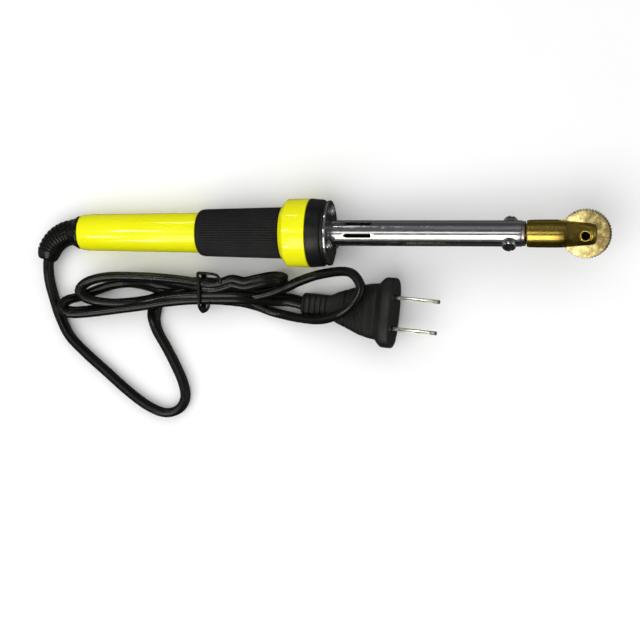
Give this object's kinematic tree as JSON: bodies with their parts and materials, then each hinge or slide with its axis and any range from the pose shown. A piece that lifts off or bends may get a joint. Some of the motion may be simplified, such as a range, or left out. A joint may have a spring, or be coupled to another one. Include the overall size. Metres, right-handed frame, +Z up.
{
  "type": "electric spur wire embedder",
  "caption": "Heated hand tool for beekeeping: plastic handle with a grip, slotted steel barrel and a brass fork holding a toothed wheel; mains lead tied in a hank with a flat-blade plug.",
  "frame": {"origin": "middle of the tool, without its free cord, on the surface it lies on", "axes": "+Z up; +X from the handle towards the toothed wheel, with the tool axis raised about 4 degrees in the XZ plane; +Y to the left of the tool, away from the cord"},
  "size_m": [0.2382, 0.0916, 0.0285],
  "materials": {
    "yellow_plastic": "glossy moulded",
    "grip_rubber": "matte, finely ribbed",
    "black_phenolic": "satin moulded",
    "black_pvc": "satin soft PVC",
    "plug_plastic": "satin moulded PVC",
    "chromed_steel": "polished",
    "plain_steel": "turned",
    "brass": "turned, slightly tarnished",
    "wheel_brass": "turned and knurled",
    "nickel": "nickel plated",
    "ceramic": "unglazed",
    "mica": "pressed mica sheet",
    "resistance_wire": "drawn wire"
  },
  "bodies": {
    "tool_body": {"handle_shell": "yellow_plastic", "grip_sleeve": "grip_rubber", "front_ring": "black_phenolic", "flange_plate": "chromed_steel", "flange_screw_1": "chromed_steel", "flange_screw_2": "chromed_steel", "flange_screw_3": "chromed_steel", "barrel_tube": "chromed_steel", "tip_bush": "plain_steel", "heater_former": "ceramic", "heater_winding": "resistance_wire", "heater_sleeve": "mica", "lead_insulator": "ceramic", "heater_lead_live": "resistance_wire", "heater_lead_neutral": "resistance_wire", "crimp_sleeve_live": "nickel", "crimp_sleeve_neutral": "nickel", "cord_core_live": "black_pvc", "cord_core_neutral": "black_pvc", "cord_tail": "black_pvc", "cord_boot": "black_pvc", "tip_screw_lower": "chromed_steel", "tip_screw_upper": "chromed_steel", "tip_fork": "brass", "wheel_pin": "brass", "cord_lead": "black_pvc", "cord_hank": "black_pvc", "cord_tie": "black_pvc", "cord_loop": "black_pvc", "cord_plug_lead": "black_pvc", "plug_body": "plug_plastic", "plug_blade_upper": "nickel", "plug_blade_lower": "nickel"},
    "wheel_body": {"embedding_wheel": "wheel_brass"}
  },
  "joints": [
    {"name": "wheel_spin", "type": "hinge", "parent": "tool_body", "child": "wheel_body", "pos_m": [0.10909, 0, 0.02237], "axis": [-0.0686, -0.2756, 0.9588], "continuous": true}
  ]
}
